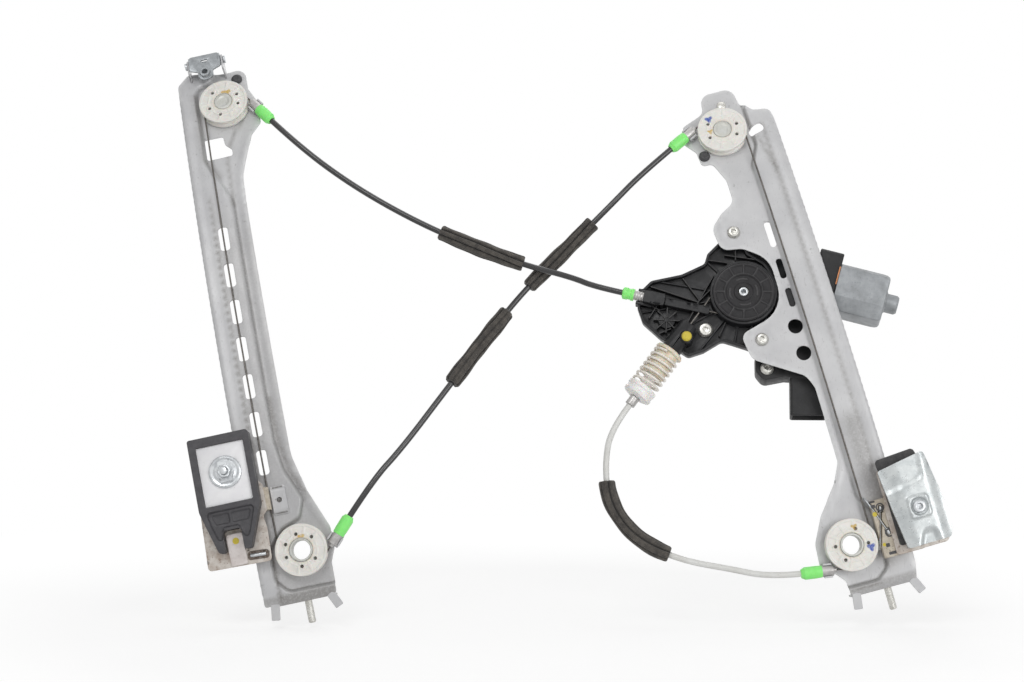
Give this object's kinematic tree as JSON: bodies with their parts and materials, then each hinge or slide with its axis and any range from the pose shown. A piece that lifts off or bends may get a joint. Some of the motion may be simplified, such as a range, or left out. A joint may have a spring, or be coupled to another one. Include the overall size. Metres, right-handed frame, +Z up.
{
  "type": "window regulator",
  "caption": "Cable-driven vehicle window regulator with curved guide rails, a worm-geared motor, pulleys, cable conduits and sliding glass carriers.",
  "frame": {"origin": "shoulder of the right rail's lower stud, where its axis meets the underside of the flange", "axes": "+X to the right and +Y away from a viewer on the outer side of the door, +Z up; the window is down"},
  "size_m": [0.6378, 0.1613, 0.4763],
  "materials": {
    "left_rail": "grey coated steel sheet",
    "right_rail": "grey coated steel sheet",
    "left_cable": "zinc coated wire rope",
    "right_cable": "zinc coated wire rope",
    "left_upper_pulley": "natural acetal",
    "left_lower_pulley": "natural acetal",
    "right_upper_pulley": "natural acetal",
    "right_lower_pulley": "natural acetal",
    "upper_axles": "zinc plated",
    "lower_eyelets": "zinc plated",
    "locating_plugs": "black",
    "mounting_studs": "zinc plated",
    "top_bracket": "dull zinc",
    "top_bracket_pin": "dull zinc",
    "top_bracket_nut": "zinc plated",
    "left_slider": "black acetal",
    "left_carrier_plate": "worn steel sheet",
    "left_cable_anchor": "worn steel",
    "left_clamp_frame": "black moulded",
    "left_clamp_plate": "bright zinc",
    "left_clamp_washer": "zinc plated",
    "left_clamp_nut": "zinc plated",
    "left_clamp_bolt": "zinc plated",
    "left_tongue": "bare steel",
    "right_slider": "cream acetal",
    "right_cable_tails": "wire rope with crimped ends",
    "right_carrier_plate": "worn steel sheet",
    "right_clamp_pad": "dark rubber",
    "right_clamp_cover": "die-cast",
    "right_clamp_bolt": "zinc plated",
    "drum_housing": "glass-filled black nylon",
    "housing_pin": "yellow",
    "drum_cover": "glass-filled black nylon",
    "cable_drum": "natural acetal",
    "drum_winding": "wire rope",
    "drum_shaft": "ground steel",
    "worm_wheel": "natural acetal",
    "gear_housing": "glass-filled black nylon",
    "gear_lid": "glass-filled black nylon",
    "worm_shaft": "hardened steel",
    "commutator": "copper segments",
    "armature_core": "steel laminations",
    "motor_can": "zinc plated drawn steel",
    "magnets": "ferrite",
    "brush_housing": "black moulded",
    "brushes": "carbon",
    "control_module": "black moulded",
    "connector_pins": "tinned brass",
    "housing_screws": "zinc plated",
    "tension_sleeve": "cream plastic",
    "tension_cap": "cream plastic",
    "tension_pin": "cream plastic",
    "tension_spring": "spring steel",
    "conduit_upper": "black jacket",
    "conduit_cross": "black jacket",
    "conduit_lower": "light grey jacket",
    "foam_sleeves": "black foam rubber",
    "end_ferrules": "grey plastic",
    "ferrule_collars": "bright green plastic",
    "cable_leads": "wire rope"
  },
  "bodies": {
    "frame": {"left_rail": "left_rail", "right_rail": "right_rail", "left_cable": "left_cable", "right_cable": "right_cable", "upper_axles": "upper_axles", "lower_eyelets": "lower_eyelets", "locating_plugs": "locating_plugs", "mounting_studs": "mounting_studs", "top_bracket_pin": "top_bracket_pin", "drum_housing": "drum_housing", "housing_pin": "housing_pin", "drum_cover": "drum_cover", "gear_housing": "gear_housing", "gear_lid": "gear_lid", "motor_can": "motor_can", "magnets": "magnets", "brush_housing": "brush_housing", "brushes": "brushes", "control_module": "control_module", "connector_pins": "connector_pins", "housing_screws": "housing_screws", "tension_sleeve": "tension_sleeve", "tension_cap": "tension_cap", "tension_pin": "tension_pin", "tension_spring": "tension_spring", "conduit_upper": "conduit_upper", "conduit_cross": "conduit_cross", "conduit_lower": "conduit_lower", "foam_sleeves": "foam_sleeves", "end_ferrules": "end_ferrules", "ferrule_collars": "ferrule_collars", "cable_leads": "cable_leads"},
    "left_carrier": {"left_slider": "left_slider", "left_carrier_plate": "left_carrier_plate", "left_cable_anchor": "left_cable_anchor", "left_clamp_frame": "left_clamp_frame", "left_clamp_plate": "left_clamp_plate", "left_clamp_washer": "left_clamp_washer", "left_clamp_nut": "left_clamp_nut", "left_clamp_bolt": "left_clamp_bolt", "left_tongue": "left_tongue"},
    "right_carrier": {"right_slider": "right_slider", "right_cable_tails": "right_cable_tails", "right_carrier_plate": "right_carrier_plate", "right_clamp_pad": "right_clamp_pad", "right_clamp_cover": "right_clamp_cover", "right_clamp_bolt": "right_clamp_bolt"},
    "left_upper_wheel": {"left_upper_pulley": "left_upper_pulley"},
    "left_lower_wheel": {"left_lower_pulley": "left_lower_pulley"},
    "right_upper_wheel": {"right_upper_pulley": "right_upper_pulley"},
    "right_lower_wheel": {"right_lower_pulley": "right_lower_pulley"},
    "drum": {"cable_drum": "cable_drum", "drum_winding": "drum_winding", "drum_shaft": "drum_shaft", "worm_wheel": "worm_wheel"},
    "armature": {"worm_shaft": "worm_shaft", "armature_core": "armature_core", "commutator": "commutator"},
    "bracket": {"top_bracket": "top_bracket", "top_bracket_nut": "top_bracket_nut"}
  },
  "joints": [
    {"name": "motor_spin", "type": "hinge", "parent": "frame", "child": "armature", "pos_m": [-0.09829, 0.08278, 0.25835], "axis": [0.9548, -0.1578, -0.2517], "range_deg": [-5, 44678.94]},
    {"name": "drum_spin", "type": "hinge", "parent": "frame", "child": "drum", "pos_m": [-0.10905, 0.05357, 0.23584], "axis": [-0.0793, -0.9519, 0.296], "range_deg": [-0.05, 827.35]},
    {"name": "left_carrier_lift", "type": "hinge", "parent": "frame", "child": "left_carrier", "pos_m": [-0.4312, 1.28339, -0.1465], "axis": [-0.9778, 0, -0.2096], "range_deg": [0, 13.03]},
    {"name": "right_carrier_lift", "type": "hinge", "parent": "frame", "child": "right_carrier", "pos_m": [0.0169, 1.28339, -0.14036], "axis": [-0.9659, 0, -0.2588], "range_deg": [0, 13.04]},
    {"name": "left_upper_pulley_spin", "type": "hinge", "parent": "frame", "child": "left_upper_wheel", "pos_m": [-0.54857, 0.11016, 0.40098], "axis": [-0.0903, -0.9025, 0.4211], "range_deg": [-942.25, 0.05]},
    {"name": "left_lower_pulley_spin", "type": "hinge", "parent": "frame", "child": "left_lower_wheel", "pos_m": [-0.46912, -0.00396, 0.0304], "axis": [-0.0292, -0.9903, 0.1361], "range_deg": [-942.25, 0.05]},
    {"name": "right_upper_pulley_spin", "type": "hinge", "parent": "frame", "child": "right_upper_wheel", "pos_m": [-0.12142, 0.09832, 0.37586], "axis": [-0.1064, -0.9116, 0.3971], "range_deg": [-0.05, 942.25]},
    {"name": "right_lower_pulley_spin", "type": "hinge", "parent": "frame", "child": "right_lower_wheel", "pos_m": [-0.02992, -0.00396, 0.0344], "axis": [-0.036, -0.9903, 0.1344], "range_deg": [-0.05, 942.25]},
    {"name": "bracket_tilt", "type": "hinge", "parent": "frame", "child": "bracket", "pos_m": [-0.55711, 0.12373, 0.44084], "axis": [0.9778, 0, 0.2096], "range_deg": [-4, 24]}
  ],
  "couplings": [
    {"joint": "motor_spin", "follows": "left_carrier_lift", "ratio": 3427.6},
    {"joint": "drum_spin", "follows": "left_carrier_lift", "ratio": 63.473},
    {"joint": "right_carrier_lift", "follows": "left_carrier_lift", "ratio": 1},
    {"joint": "left_upper_pulley_spin", "follows": "left_carrier_lift", "ratio": -72.289},
    {"joint": "left_lower_pulley_spin", "follows": "left_carrier_lift", "ratio": -72.289},
    {"joint": "right_upper_pulley_spin", "follows": "left_carrier_lift", "ratio": 72.289},
    {"joint": "right_lower_pulley_spin", "follows": "left_carrier_lift", "ratio": 72.289}
  ]
}
